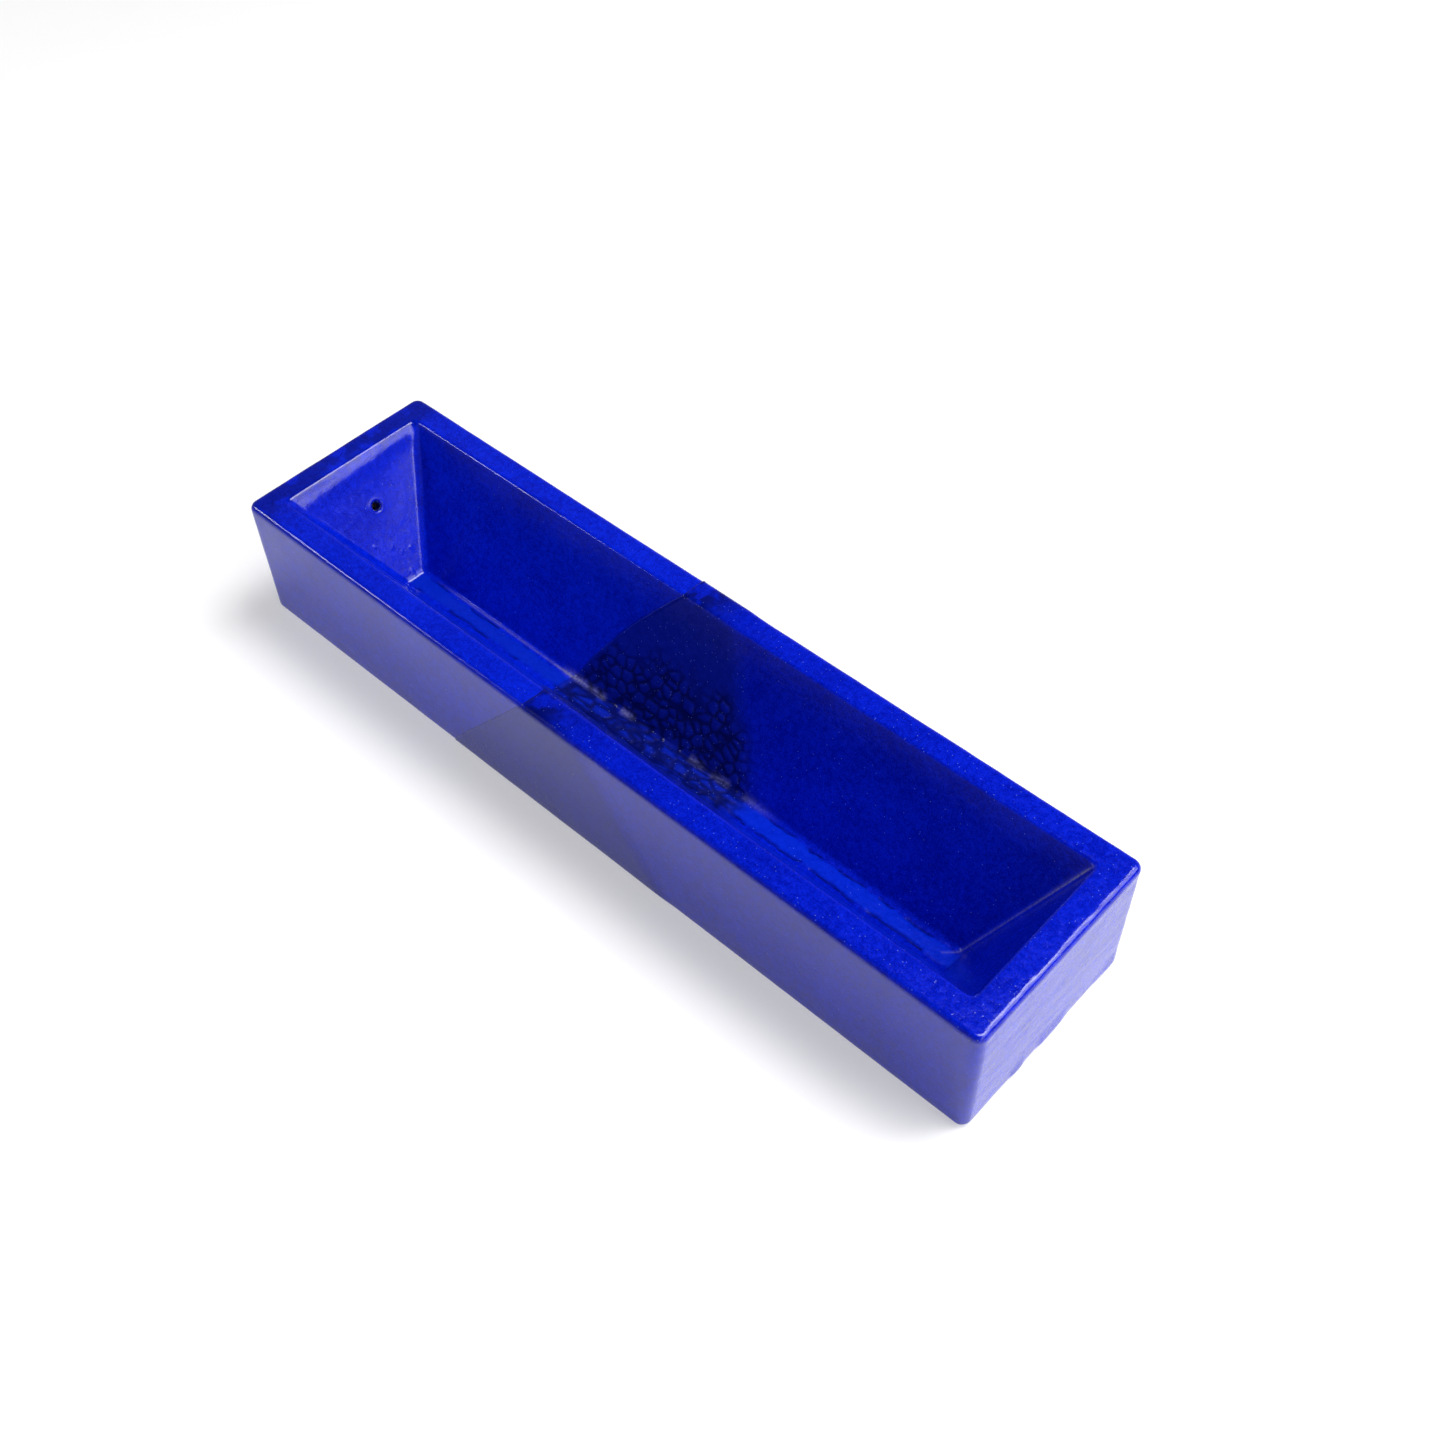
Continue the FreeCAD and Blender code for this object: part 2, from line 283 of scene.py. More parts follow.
def make_grid(end, spans, starts):
    """The surface from one dip edge, round the end at `end` times X, to the other edge.
    `spans` are the counts along (overlap, side, corner, end). `starts` are two functions for
    the X where the overlap's columns and the side's columns begin."""
    overlap, side, corner, across = spans
    places, ways = [], []
    for inset, z, out, up in PROFILE:
        half_x, half_y = HALF_LENGTH - inset, HALF_WIDTH - inset
        radius = plan_radius(inset, half_y)
        halves = []
        for y_sign in (-1, 1):
            y = np.array(y_sign * half_y)
            begin = [end * float(edge(np.array(inset), y, np.array(z))) for edge in starts]
            xs = np.concatenate([
                np.linspace(begin[0], begin[1], overlap + 1)[:-1],
                np.linspace(begin[1], half_x - radius, side + 1)[:-1],
            ])
            angles = np.radians(np.linspace(-90, 0, corner + 1)[:-1])
            line = np.stack([xs, np.full_like(xs, -half_y)], 1)
            arc = np.stack([
                half_x - radius + radius * np.cos(angles), -half_y + radius + radius * np.sin(angles),
            ], 1)
            half = np.concatenate([line, arc])
            round_corner = np.stack([np.cos(angles), np.sin(angles)], 1)
            way = np.concatenate([np.tile((0, -1), (len(xs), 1)), round_corner])
            half[:, 1] *= -y_sign
            way[:, 1] *= -y_sign
            halves.append((half, way))
        ys = np.linspace(-half_y + radius, half_y - radius, across + 1)[:-1]
        middle = np.stack([np.full_like(ys, half_x), ys], 1)
        closing = np.array([[half_x, half_y - radius]])
        ahead = np.tile((1, 0), (len(ys) + 1, 1))
        plan = np.concatenate([halves[0][0], middle, closing, halves[1][0][::-1]])
        way = np.concatenate([halves[0][1], ahead, halves[1][1][::-1]])
        places.append(np.column_stack([plan[:, 0] * end, plan[:, 1], np.full(len(plan), z)]))
        ways.append(np.column_stack([
            way[:, 0] * end * -out, way[:, 1] * -out, np.full(len(way), up),
        ]))
    return np.array(places), np.array(ways)


def grid_ids(rows, columns, corner_column):
    """Vertex numbers of a grid whose last row is folded along the floor's middle line."""
    ids = np.arange(rows * columns).reshape(rows, columns)
    i = np.arange(columns)
    folded = np.minimum(np.minimum(i, columns - 1 - i), corner_column)
    ids[-1] = ids[-1, folded]
    return ids


def grid_faces(ids, skip=None):
    """Faces between neighbouring rows and columns. `skip` is a block of rows and columns that
    stays open: first row, last row, first column, last column."""
    faces = []
    rows, columns = ids.shape
    for r in range(rows - 1):
        for c in range(columns - 1):
            if skip and skip[0] <= r < skip[1] and skip[2] <= c < skip[3]:
                continue
            face = list(dict.fromkeys((ids[r, c], ids[r, c + 1], ids[r + 1, c + 1], ids[r + 1, c])))
            if len(face) > 2:
                faces.append(face)
    return faces


def strip(fine, coarse):
    """Faces between a fine line of vertices and a line of every COARSEth one's partner."""
    faces = []
    half = COARSE // 2
    for i in range(len(coarse) - 1):
        k = i * COARSE
        near, far = coarse[i], coarse[i + 1]
        faces += [[fine[k + j + 1], fine[k + j], near] for j in range(half)]
        faces += [[fine[k + half], near, far]]
        faces += [[fine[k + j + 1], fine[k + j], far] for j in range(half, COARSE)]
    return faces


def block_loop(ids, block):
    """Vertex numbers once round a block's border, with the first one again at the end."""
    r0, r1, c0, c1 = block
    return np.concatenate([
        ids[r0, c0:c1], ids[r0:r1, c1], ids[r1, c1:c0:-1], ids[r1:r0:-1, c0], ids[r0:r0 + 1, c0],
    ])


# ---------------------------------------------------------------- the glaze's relief and masks

# The size of a crawled cell along X, Y and Z, on the inner panels and on the floor.
PANEL_CELL = (3.6, 3.0, 3.2)
FLOOR_CELL = (6.0, 2.6, 3.0)

# Half the width of the pooled strip on the floor. Cracks follow its edges.
POOL_HALF_WIDTH = 2.45

# The part of the trough at the plain end that has drag marks, lumps and beads.
PLAIN_END = HALF_LENGTH - 4


def side_noise_place(x, y):
    """Places for noise that runs along the floor and differs between its two sides."""
    return np.stack([x, 50 * np.sign(y), x * 0], -1)


def near_floor(z, is_inside):
    """1 on the floor and the foot of the inner panels."""
    return smooth(z, FLOOR_HEIGHT + 2.2, FLOOR_HEIGHT + 1.2) * is_inside


def crawled_cells(places, overlap, is_inside, past_second):
    """Cells on the lower part of the inner panels and on the floor, where the second coat crawled
    on the first: their height, and how dark the glaze is towards their borders."""
    z = places[..., 2]
    gap = cell_gap(places, PANEL_CELL, 31)
    floor_gap = cell_gap(places, FLOOR_CELL, 36)
    gap = np.where(z < FLOOR_HEIGHT + 1.5, floor_gap, gap) + 0.14 * noise(places, 0.9, 34)
    crawl = overlap * is_inside * smooth(z, 33, 25) * smooth(past_second, 0.3, 2.5)
    crawl = crawl * smooth(0.45 * noise(places, 6, 35) + smooth(z, 31, 14), 0.1, 0.7)
    groove = crawl * smooth(gap, 0.26, 0.04)
    dome = crawl * smooth(gap, 0.05, 0.9)
    return 0.12 * dome - 0.1 * groove, crawl * smooth(gap, 0.5, 0.06)


def pooled_strip(places, is_inside):
    """The pool along the floor and the broken cracks along both its sides, as two masks."""
    x, y, z = np.moveaxis(places, -1, 0)
    length_only = places * (1, 0, 0)
    crack_y = POOL_HALF_WIDTH + 0.3 * noise(length_only, 2.1, 41) + 0.35 * noise(length_only, 9, 42)
    side = side_noise_place(x, y)
    broken = noise(side, 4.5, 43) + 0.75 * bell(x, 0, 45) + 0.35 * bell(x, 78, 30)
    broken = smooth(broken, 0.15, 0.5)
    in_length = smooth(np.abs(x), 99, 93)
    crack = near_floor(z, is_inside) * broken * in_length * bell(np.abs(y), crack_y, 0.3)
    is_floor = smooth(z, FLOOR_HEIGHT + 1.3, FLOOR_HEIGHT + 0.4) * is_inside
    pool = is_floor * smooth(np.abs(y), crack_y + 0.1, crack_y - 0.7)
    return pool, crack


def thin_glaze_and_valley_highlight(places, is_inside):
    """Where the glaze thinned and turned pale: a line between the far panel and the floor, and
    patches on the overlap's floor. Also a painted highlight: a pale line along the valley between
    the far panel and the plain end's panel, stronger towards the top."""
    x, y, z = np.moveaxis(places, -1, 0)
    side = side_noise_place(x, y)
    line = bell(y, 3.35, 0.26) * smooth(x, -96, -80) * smooth(x, -30, -40)
    line = line * (0.45 + 0.55 * smooth(noise(side, 8, 51), -0.3, 0.4) * smooth(x, -75, -55))
    patch = bell(y, 3.6, 0.9) * smooth(noise(side, 5, 52) + bell(x, -35, 5), -0.1, 0.35)
    patch = patch * smooth(x, -42, -36) * smooth(x, 42, 20)
    # Painted highlight along the valley between the far panel and the plain end's panel, stronger
    # towards the top.
    valley = bell(HALF_LENGTH - x - HALF_WIDTH + y, 0.1, 0.42) * is_inside * (y > 0)
    valley = valley * (0.35 + 0.65 * smooth(z, 22, 38))
    return np.clip(np.maximum(near_floor(z, is_inside) * (line + 0.7 * patch), valley), 0, 1)


def hole_panel_relief(places, insets, is_inside):
    """The stick-hole panel: thick glaze below its top edge, and small bumps at its foot."""
    x, y, z = np.moveaxis(places, -1, 0)
    down = (HEIGHT - z) / math.sin(PANEL_ANGLE)
    hole_panel = smooth(HALF_LENGTH - np.abs(x) - insets, 0.6, 0.1) * is_inside * (x < 0)
    swell_place = 3.4 - 0.05 * y + 0.5 * noise(places, 6, 61)
    swell = 0.21 * bell(down, swell_place, 2.3) * smooth(down, 0.2, 2)
    bumps = 0.1 * smooth(noise(places, 1.7, 62), 0.45, 0.9) * smooth(down, 20, 24)
    return hole_panel * (swell + bumps)


def plain_end_relief(places, insets):
    """The plain end: drag marks, glaze gathered in lumps at its base, and beads along its rim."""
    x, y, z = np.moveaxis(places, -1, 0)
    wall = (x > PLAIN_END) * smooth(insets, 1.6, 0.4)
    wall = wall * smooth(x, HALF_LENGTH - 3, HALF_LENGTH - 0.6)
    tilt = places + np.stack([x * 0, y * 0, 0.16 * y], -1)
    drag = 0.035 * noise(tilt, (30, 15, 1.9), 71) + 0.012 * noise(tilt, (30, 7, 1.1), 72)
    lumps = 0.3 * smooth(z, 7, 1.2) * smooth(noise(places, (30, 5.5, 30), 73), -0.3, 0.6)
    beads = 0.16 * bell(insets - 0.1 * noise(places, 5, 75), 0.7, 0.55)
    beads = beads * smooth(noise(places, (30, 3.2, 30), 74), 0.05, 0.6)
    return wall * (drag + lumps) + (x > PLAIN_END) * (z > HEIGHT - 3) * beads


def describe(places, insets, is_second):
    """Height of the glaze over its even skin, how deep its clay side is, both in mm, and the
    masks for its material."""
    x, y, z = np.moveaxis(places, -1, 0)
    past_second = x - second_edge(insets, y, z)
    past_first = first_edge(insets, y, z) - x
    is_inside = smooth(insets, RIM_WIDTH - 0.5, RIM_WIDTH + 1.5)
    on_rim = smooth(z, HEIGHT - 1.2, HEIGHT - 0.2)
    fade = smooth(past_first, -4 - 1.5 * is_inside, 4)
    overlap = smooth(past_second, -0.1, 0.35) * fade

    unevenness = 0.05 * noise(places, 14, 21) + 0.03 * noise(places, 5, 22)
    unevenness = unevenness + 0.012 * noise(places, 1.8, 23)
    cells, cell_shade = crawled_cells(places, overlap, is_inside, past_second)
    pool, crack = pooled_strip(places, is_inside)
    height = unevenness + 0.1 * pool - 0.26 * crack + cells
    height = height + hole_panel_relief(places, insets, is_inside) + plain_end_relief(places, insets)
    if is_second:
        bead = smooth(past_second, 0, 0.3)
        ridge = 0.1 * bell(past_second, 0.55, 0.4)
        height = height + OVERLAP_RISE * fade * (0.12 + 0.88 * bead) + ridge
        clay_side = -GLAZE + (GLAZE - 0.05) * smooth(past_first, -1.5, 0.5)
    else:
        hidden = smooth(past_second, 0.6, 2.4)
        height = height * (1 - hidden) - 0.1 * hidden
        clay_side = np.full_like(height, -GLAZE)

    # On the rim the overlap shows only as dark blotches near its start. The stick-hole end's rim
    # has some too.
    blotches = smooth(noise(places, 4, 81) + 0.6 * noise(places, 1.5, 82), -0.65, 0.1)
    blotched = np.maximum(overlap * bell(past_second, 4, 8.5), 0.6 * smooth(x, -112, -122))
    specked = overlap * is_inside + (0.25 * is_inside + 0.75 * on_rim) * smooth(past_second, 0, 3)
    masks = {
        "overlap": overlap * (1 - 0.8 * on_rim) * (0.72 + 0.28 * is_inside),
        "groove": np.clip(np.maximum(cell_shade, crack), 0, 1),
        "thin_and_highlight": thin_glaze_and_valley_highlight(places, is_inside),
        "pool": pool,
        "stain": blotched * on_rim * blotches,
        "specked": np.clip(specked, 0, 1),
    }
    return height, clay_side, masks


# ---------------------------------------------------------------- meshes

def signed_volume(points, faces):
    """Above zero when the faces of a closed mesh point outwards."""
    corners = np.array([(f[0], f[i], f[i + 1]) for f in faces for i in range(1, len(f) - 1)])
    a, b, c = np.moveaxis(points[corners], 1, 0)
    return np.sum(a * np.cross(b, c))


def add_mesh(name, points, faces, masks, material):
    """A smooth-shaded mesh from millimetre points."""
    used = np.unique(np.concatenate([np.array(face) for face in faces]))
    number = np.zeros(len(points), int)
    number[used] = np.arange(len(used))
    points = points[used]
    faces = [[int(number[v]) for v in face] for face in faces]
    if signed_volume(points, faces) < 0:
        faces = [face[::-1] for face in faces]
    mesh = bpy.data.meshes.new(name)
    mesh.from_pydata((points * MM).tolist(), [], faces)
    for mask, values in masks.items():
        attribute = mesh.attributes.new(mask, "FLOAT", "POINT")
        attribute.data.foreach_set("value", values[used].astype(np.float32))
    mesh.polygons.foreach_set("use_smooth", [True] * len(mesh.polygons))
    mesh.materials.append(material)
    mesh.update()
    piece = bpy.data.objects.new(name, mesh)
    bpy.context.scene.collection.objects.link(piece)
    return piece


def hole_rings(loop, loop_places, rings, count):
    """The stick hole on one side of a coat, from the `loop` round its block of the grid down to
    its last ring. Returns the rings' points, which are numbered from `count` on, their groove
    mask, which is painted shade below HOLE_SHADE_HEIGHT, their faces, and the last ring's vertex
    numbers with the first one again at the end."""
    axis = HOLE_AXIS / np.linalg.norm(HOLE_AXIS)
    side = np.array((0.0, 1.0, 0.0))
    upward = np.cross(side, axis)
    away = loop_places - HOLE_MOUTH
    angles = np.arctan2(away @ upward, away @ side)
    direction = np.cos(angles)[:, None] * side + np.sin(angles)[:, None] * upward
    points, shade, faces = [], [], []
    for radius, height in rings:
        ring = HOLE_MOUTH + radius * direction + height * axis
        line = np.concatenate([np.arange(count, count + len(ring)), [count]])
        count += len(ring)
        points.append(ring)
        shade.append(np.full(len(ring), 1.0 if height < HOLE_SHADE_HEIGHT else 0.0))
        faces += [[loop[k], loop[k + 1], line[k + 1], line[k]] for k in range(len(ring))]
        loop = line
    return np.concatenate(points), np.concatenate(shade), faces, loop


def flipped(faces):
    return [face[::-1] for face in faces]


def make_coat(name, end, spans, starts, material, has_hole):
    """One glaze coat as a closed shell: its skin, its clay side, and the rims between them."""
    places, ways = make_grid(end, spans, starts)
    insets = np.broadcast_to(PROFILE[:, :1], places.shape[:2])
    height, clay_side, masks = describe(places, insets, not has_hole)
    columns = places.shape[1]
    corner_column = sum(spans[:3])
    skin = (places + ways * height[..., None]).reshape(-1, 3)
    ids = grid_ids(ROWS, columns, corner_column)

    coarse = (slice(None, None, COARSE), slice(None, None, COARSE))
    under = (places + ways * clay_side[..., None])[coarse]
    under_ids = grid_ids(*under.shape[:2], corner_column // COARSE) + len(skin)
    points = np.concatenate([skin, under.reshape(-1, 3)])
    mask_values = {
        key: np.concatenate([value.reshape(-1), value[coarse].reshape(-1)])
        for key, value in masks.items()
    }

    block = under_block = None
    hole_faces = []
    if has_hole:
        middle = (columns - 1) // 2
        block = (
            HOLE_ROW - HOLE_BLOCK_ABOVE, HOLE_ROW + HOLE_BLOCK_BELOW,
            middle - HOLE_BLOCK_SIDE, middle + HOLE_BLOCK_SIDE,
        )
        under_block = tuple(value // COARSE for value in block)
        bottoms = []
        for numbers, border, rings in (
            (ids, block, HOLE_LIP), (under_ids, under_block, HOLE_CLAY_SIDE),
        ):
            loop = block_loop(numbers, border)
            ring_points, shade, faces, bottom = hole_rings(loop, points[loop[:-1]], rings, len(points))
            points = np.concatenate([points, ring_points])
            for key, value in mask_values.items():
                # The hole's deep rings take the groove colour as painted shade down the hole.
                added = shade if key == "groove" else np.zeros(len(shade))
                mask_values[key] = np.concatenate([value, added])
            hole_faces += faces if numbers is ids else flipped(faces)
            bottoms.append(bottom)
        hole_faces += flipped(strip(*bottoms))

    faces = grid_faces(ids, block) + flipped(grid_faces(under_ids, under_block)) + hole_faces
    faces += strip(ids[0], under_ids[0])
    faces += flipped(strip(ids[:, 0], under_ids[:, 0]))
    faces += strip(ids[:, -1], under_ids[:, -1])
    return add_mesh(name, points, faces, mask_values, material)


# ---------------------------------------------------------------- materials

class Nodes:
    """Adds nodes to a material or world, each fed by plain values or by other nodes' outputs."""

    def __init__(self, owner):
        owner.use_nodes = True
        self.tree = owner.node_tree
        self.tree.nodes.clear()

    def add(self, kind, inputs=(), **settings):
        new = self.tree.nodes.new(kind)
        for key, value in settings.items():
            setattr(new, key, value)
        for key, value in dict(inputs).items():
            if isinstance(value, bpy.types.NodeSocket):
                self.tree.links.new(value, new.inputs[key])
            else:
                new.inputs[key].default_value = value
        return new

    def mask(self, name):
        """One of the masks that the coats' vertices carry."""
        return self.add("ShaderNodeAttribute", attribute_name=name).outputs["Fac"]

    def math(self, operation, a, b):
        return self.add("ShaderNodeMath", {0: a, 1: b}, operation=operation).outputs[0]

    def ramp(self, value, low, high, out_low=0.0, out_high=1.0):
        """`out_low` at `low` and `out_high` at `high`, with an even turn between."""
        new = self.add("ShaderNodeMapRange", {
            "Value": value, "From Min": low, "From Max": high, "To Min": out_low, "To Max": out_high,
        }, interpolation_type="SMOOTHSTEP")
        return new.outputs["Result"]

    def mix(self, factor, a, b):
        """Colour `a` at a factor of 0 and colour `b` at 1. Sockets 6, 7 and 2 are the colour ones."""
        a, b = (
            colour if isinstance(colour, bpy.types.NodeSocket) else (*colour, 1) for colour in (a, b)
        )
        return self.add("ShaderNodeMix", {0: factor, 6: a, 7: b}, data_type="RGBA").outputs[2]

    def noise(self, place, size_mm, detail=2.0, roughness=0.55):
        return self.add("ShaderNodeTexNoise", {
            "Vector": place, "Scale": 1 / (size_mm * MM), "Detail": detail, "Roughness": roughness,
        }).outputs["Fac"]


# Linear colours. Each glaze's are its darkest and lightest blues, its blue where two coats lie on
# each other, and its blue where it pooled.
FIRST_BLUES = ((0.0, 0.004, 0.29), (0.0006, 0.016, 0.62), (0.001, 0.004, 0.1), (0.0006, 0.018, 0.42))
SECOND_BLUES = ((0.0, 0.003, 0.25), (0.0006, 0.012, 0.54), (0.001, 0.008, 0.25), (0.0006, 0.02, 0.52))
STAIN_BLUE = (0.0, 0.0015, 0.06)
# Pale blue of glaze that thinned out, also used as a painted highlight along the plain end's valley.
THIN_GLAZE_AND_HIGHLIGHT_BLUE = (0.15, 0.15, 0.32)
# Near black of crawl grooves and cracks, also painted as shade down the stick hole.
GROOVE_AND_HOLE_SHADE_BLUE = (0.0, 0.001, 0.04)
SPECK_BLUE = (0.1, 0.17, 0.66)
CLAY_DARK, CLAY_PALE, CLAY_GRAIN = (0.56, 0.5, 0.42), (0.68, 0.63, 0.54), (0.34, 0.27, 0.2)
GLAZE_IOR = 1.43


def make_glaze(name, deep, bright, covered, pooled):
    """A satin-gloss cobalt glaze. `deep` and `bright` are its darkest and lightest blues,
    `covered` is its colour where two coats lie on each other, and `pooled` along the floor."""
    material = bpy.data.materials.new(name)
    n = Nodes(material)
    place = n.add("ShaderNodeTexCoord").outputs["Object"]
    overlap, groove, thin_and_highlight = n.mask("overlap"), n.mask("groove"), n.mask("thin_and_highlight")
    pool, stain, specked = n.mask("pool"), n.mask("stain"), n.mask("specked")

    grain = n.noise(place, 0.42, 3.0, 0.6)
    mottle = n.noise(place, 1.6, 3.0)
    clouds = n.noise(place, 14, 3.0)
    tone = n.math("ADD", n.math("MULTIPLY", grain, 0.9), n.math("MULTIPLY", mottle, 0.45))
    tone = n.math("ADD", tone, n.math("MULTIPLY", clouds, 0.3))
    colour = n.mix(n.ramp(tone, 0.55, 1.1), deep, bright)
    dark_flecks = n.ramp(n.noise(place, 0.9, 2.0), 0.62, 0.72)
    colour = n.mix(n.math("MULTIPLY", dark_flecks, 0.45), colour, deep)
    covered_tone = n.mix(n.ramp(tone, 0.5, 1.1), [value * 0.7 for value in covered], covered)
    colour = n.mix(n.math("MULTIPLY", overlap, 0.92), colour, covered_tone)
    pool = n.math("MULTIPLY", pool, n.math("SUBTRACT", 1.0, n.math("MULTIPLY", overlap, 0.6)))
    colour = n.mix(n.math("MULTIPLY", pool, n.ramp(tone, 0.5, 1.1, 0.45, 0.9)), colour, pooled)
    colour = n.mix(n.math("MULTIPLY", stain, 0.85), colour, STAIN_BLUE)
    # Pale glaze where it thinned, and the painted highlight along the plain end's valley.
    thin_and_highlight_factor = n.math("MULTIPLY", thin_and_highlight, n.ramp(n.noise(place, 0.7, 2.0), 0.3, 0.6, 0.45, 1.0))
    colour = n.mix(thin_and_highlight_factor, colour, THIN_GLAZE_AND_HIGHLIGHT_BLUE)
    # Crawl grooves and cracks darken the glaze; down the stick hole the same mask is painted shade.
    colour = n.mix(n.math("MULTIPLY", groove, 0.8), colour, GROOVE_AND_HOLE_SHADE_BLUE)

    # Pale specks a few tenths of a millimetre across, in some cells only.
    cells = n.add("ShaderNodeTexVoronoi", {
        "Vector": place, "Scale": 1 / (0.85 * MM), "Randomness": 1.0,
    })
    chosen = n.add("ShaderNodeSeparateColor", {"Color": cells.outputs["Color"]}).outputs[0]
    cloudy = n.math("MULTIPLY", n.ramp(clouds, 0.35, 0.65), 0.02)
    amount = n.math("ADD", cloudy, n.math("MULTIPLY", specked, 0.32))
    chosen = n.math("GREATER_THAN", chosen, n.math("SUBTRACT", 0.99, amount))
    speck = n.math("MULTIPLY", n.ramp(cells.outputs["Distance"], 0.2, 0.07), chosen)
    colour = n.mix(n.math("MULTIPLY", speck, 0.6), colour, SPECK_BLUE)

    rough = n.math("ADD", n.ramp(mottle, 0.3, 0.7, 0.1, 0.17), n.math("MULTIPLY", overlap, 0.1))
    fine = n.add("ShaderNodeBump", {"Height": grain, "Strength": 0.5, "Distance": 0.06 * MM})
    bump = n.add("ShaderNodeBump", {
        "Height": n.math("ADD", mottle, n.math("MULTIPLY", speck, 0.3)),
        "Strength": 0.5, "Distance": 0.1 * MM, "Normal": fine.outputs[0],
    })
    shader = n.add("ShaderNodeBsdfPrincipled", {
        "Base Color": colour, "Roughness": rough, "IOR": GLAZE_IOR, "Normal": bump.outputs[0],
    })
    n.add("ShaderNodeOutputMaterial", {"Surface": shader.outputs[0]})
    return material


def make_clay():
    """Bare fired clay: pale, matt and slightly sandy."""
    material = bpy.data.materials.new("fired_clay")
    n = Nodes(material)
    place = n.add("ShaderNodeTexCoord").outputs["Object"]
    sand = n.noise(place, 0.35, 4.0, 0.7)
    clouds = n.noise(place, 18, 4.0)
    colour = n.mix(n.ramp(clouds, 0.3, 0.7), CLAY_DARK, CLAY_PALE)
    colour = n.mix(n.ramp(sand, 0.62, 0.75), colour, CLAY_GRAIN)
    bump = n.add("ShaderNodeBump", {"Height": sand, "Strength": 0.4, "Distance": 0.1 * MM})
    rough = n.ramp(sand, 0.2, 0.8, 0.78, 0.95)
    shader = n.add("ShaderNodeBsdfPrincipled", {
        "Base Color": colour, "Roughness": rough, "Normal": bump.outputs[0],
    })
    n.add("ShaderNodeOutputMaterial", {"Surface": shader.outputs[0]})
    return material


first_coat = make_coat(
    "first_glaze", -1, FIRST_SPANS,
    (first_edge, lambda inset, y, z: second_edge(inset, y, z) + FIRST_SIDE_START),
    make_glaze("first_glaze", *FIRST_BLUES), has_hole=True,
)
second_coat = make_coat(
    "second_glaze", 1, SECOND_SPANS,
    (second_edge, lambda inset, y, z: first_edge(inset, y, z) + SECOND_SIDE_START),
    make_glaze("second_glaze", *SECOND_BLUES), has_hole=False,
)
for piece, node in ((first_coat, "first_glaze_coat"), (second_coat, "second_glaze_coat")):
    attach(piece, "root")
    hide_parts(node)

clay = frame["nodes"]["clay_body"]
clay.data.materials.clear()
clay.data.materials.append(make_clay())


# ---------------------------------------------------------------- studio

# Metres from here on. The camera's roll is in degrees and its lens in mm on a 36 mm sensor.
CAMERA_PLACE = (0.20911, -0.19371, 0.35289)
CAMERA_AIM = (0.01439, 0.01036, 0.02)
CAMERA_ROLL = -1.511
CAMERA_LENS = 41.536
CAMERA_SENSOR = 36

# Half sizes of the whole floor, and of the part under the trough that doesn't glow.
FLOOR_HALF_SIZE = (6.0, 6.0)
COVERED_HALF_SIZE = (0.12, 0.027)
FLOOR_GLOW = 0.38
FLOOR_DARK, FLOOR_PALE = (0.6, 0.6, 0.6), (0.64, 0.64, 0.64)

# The world's light near the horizon and overhead.
WORLD_LOW, WORLD_HIGH = 0.17, 0.02

# Each softbox: name, azimuth and elevation in degrees, distance, width and height, and watts.
SOFTBOXES = (
    ("key_light", 24, 40, 0.65, (0.5, 0.3), 2.6),
    ("front_left_light", -150, 34, 0.7, (0.24, 0.04), 0.9),
    ("low_light", -12, 18, 0.65, (0.14, 0.08), 0.5),
    ("top_light", 58, 67, 1.6, (0.7, 0.7), 24),
)


def make_floor_material(name, glow):
    """Pale card. `glow` is how far it is lit from behind, as a photographer's light table is."""
    material = bpy.data.materials.new(name)
    n = Nodes(material)
    place = n.add("ShaderNodeTexCoord").outputs["Object"]
    colour = n.mix(n.noise(place, 60, 3.0), FLOOR_DARK, FLOOR_PALE)
    shader = n.add("ShaderNodeBsdfPrincipled", {
        "Base Color": colour, "Roughness": 0.9,
        "Emission Color": (1, 1, 1, 1), "Emission Strength": glow,
    })
    n.add("ShaderNodeOutputMaterial", {"Surface": shader.outputs[0]})
    return material


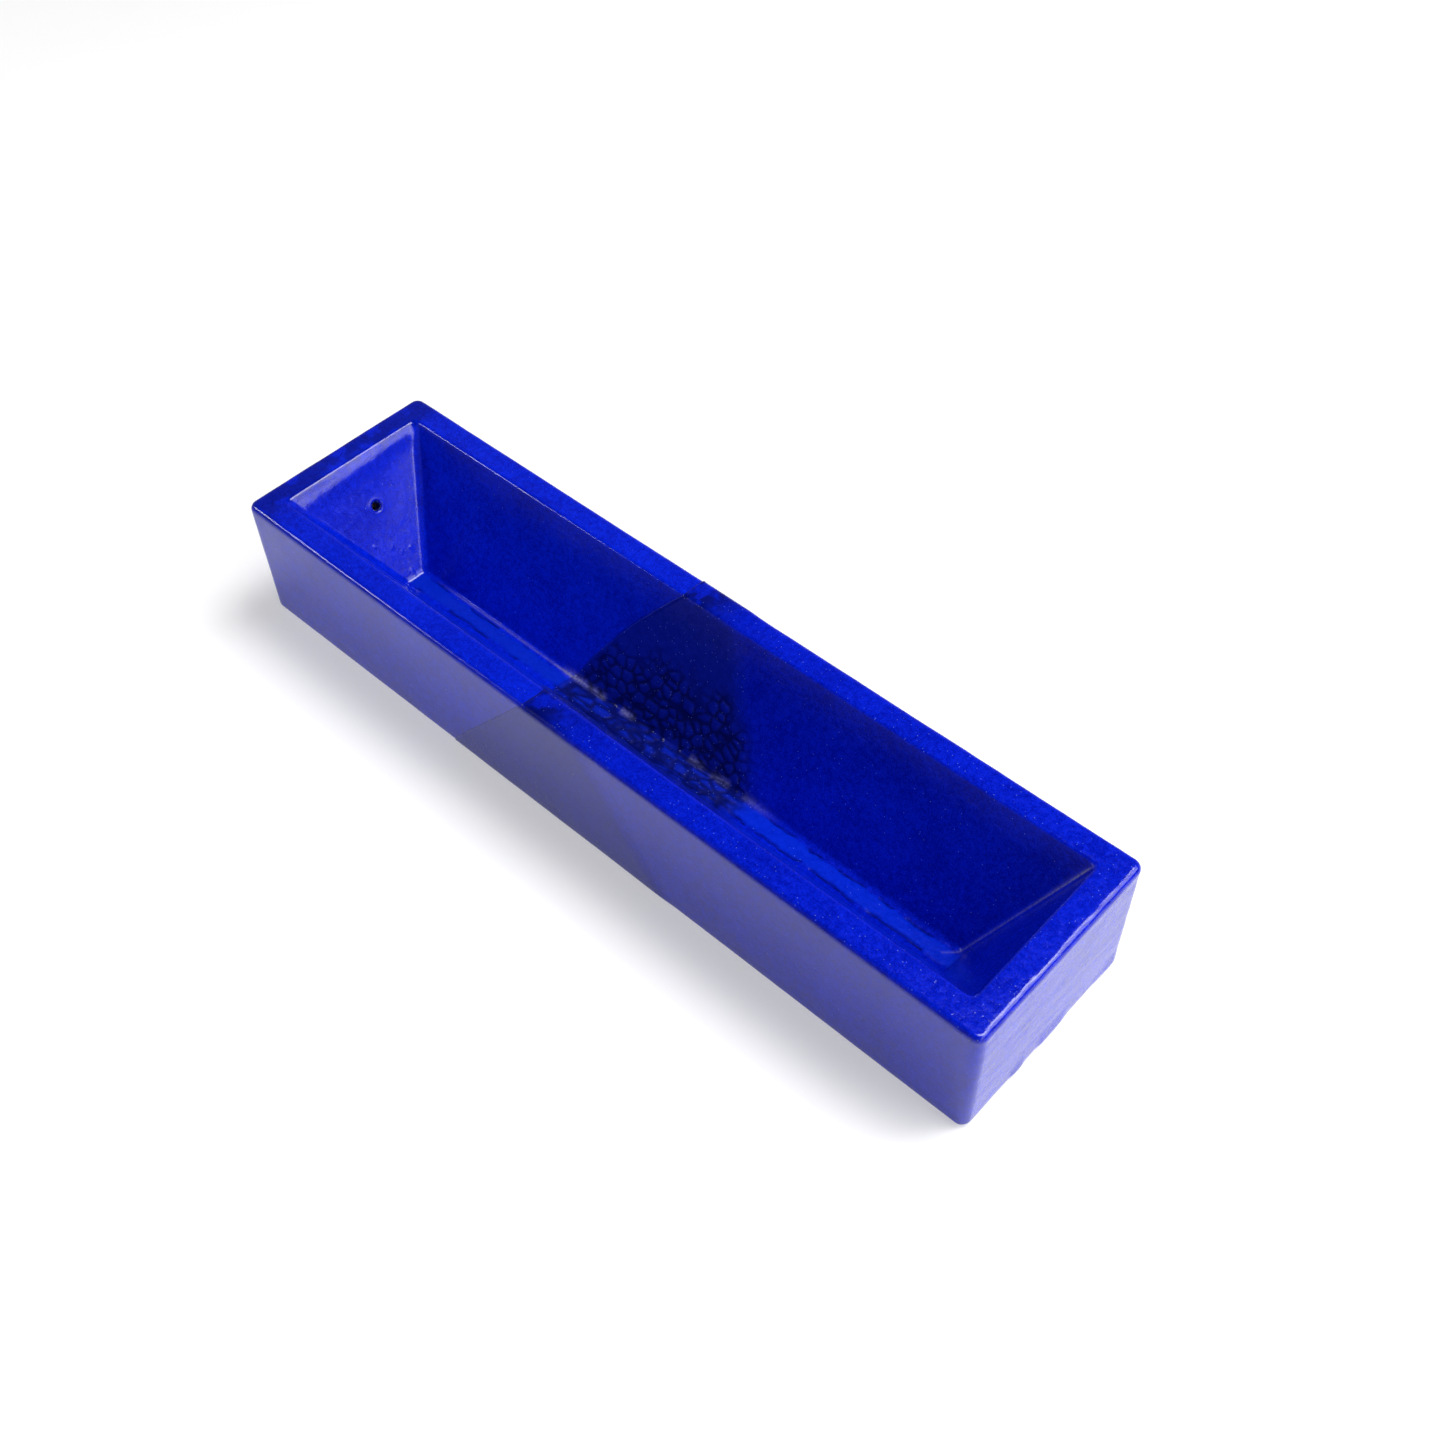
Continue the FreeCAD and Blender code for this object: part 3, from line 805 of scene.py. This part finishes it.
def make_floor():
    """A plain floor, with no glow under the trough."""
    mesh = bpy.data.meshes.new("studio_floor")
    corners = [
        (sign_x * half_x, sign_y * half_y, 0)
        for half_x, half_y in (FLOOR_HALF_SIZE, COVERED_HALF_SIZE)
        for sign_x, sign_y in ((-1, -1), (1, -1), (1, 1), (-1, 1))
    ]
    ring = [(k, (k + 1) % 4, (k + 1) % 4 + 4, k + 4) for k in range(4)]
    mesh.from_pydata(corners, [], ring + [(4, 5, 6, 7)])
    mesh.materials.append(make_floor_material("studio_floor", FLOOR_GLOW))
    mesh.materials.append(make_floor_material("studio_floor_covered", 0.0))
    mesh.polygons[4].material_index = 1
    floor = bpy.data.objects.new("studio_floor", mesh)
    bpy.context.scene.collection.objects.link(floor)


def add_softbox(name, azimuth, elevation, distance, size, power):
    """A rectangular light that faces the trough. Azimuth 0 is +X and 90 is +Y."""
    light = bpy.data.lights.new(name, "AREA")
    light.shape = "RECTANGLE"
    light.size, light.size_y = size
    light.energy = power
    lamp = bpy.data.objects.new(name, light)
    a, e = math.radians(azimuth), math.radians(elevation)
    way = Vector((math.cos(e) * math.cos(a), math.cos(e) * math.sin(a), math.sin(e)))
    lamp.location = way * distance
    lamp.rotation_euler = way.to_track_quat("Z", "Y").to_euler()
    bpy.context.scene.collection.objects.link(lamp)


def make_world():
    """A room that is dim grey near the horizon and nearly dark overhead."""
    world = bpy.data.worlds.new("studio")
    bpy.context.scene.world = world
    n = Nodes(world)
    way = n.add("ShaderNodeTexCoord").outputs["Generated"]
    up = n.add("ShaderNodeSeparateXYZ", {"Vector": way}).outputs["Z"]
    level = n.ramp(up, 0.5, 0.8, WORLD_LOW, WORLD_HIGH)
    light = n.add("ShaderNodeBackground", {"Color": (1, 1, 1, 1), "Strength": level})
    n.add("ShaderNodeOutputWorld", {"Surface": light.outputs[0]})


def add_camera():
    """The photograph's camera, as fitted to the trough's edges in it."""
    camera = bpy.data.cameras.new("camera")
    camera.lens = CAMERA_LENS
    camera.sensor_width = CAMERA_SENSOR
    camera.clip_start = 0.01
    camera.clip_end = 50
    holder = bpy.data.objects.new("camera", camera)
    back = Vector(CAMERA_PLACE) - Vector(CAMERA_AIM)
    look = back.to_track_quat("Z", "Y").to_matrix().to_4x4()
    roll = Matrix.Rotation(math.radians(CAMERA_ROLL), 4, "Z")
    holder.matrix_world = Matrix.Translation(CAMERA_PLACE) @ look @ roll
    bpy.context.scene.collection.objects.link(holder)
    bpy.context.scene.camera = holder


add_camera()
make_floor()
make_world()
for softbox in SOFTBOXES:
    add_softbox(*softbox)
bpy.context.scene.view_settings.view_transform = "Standard"
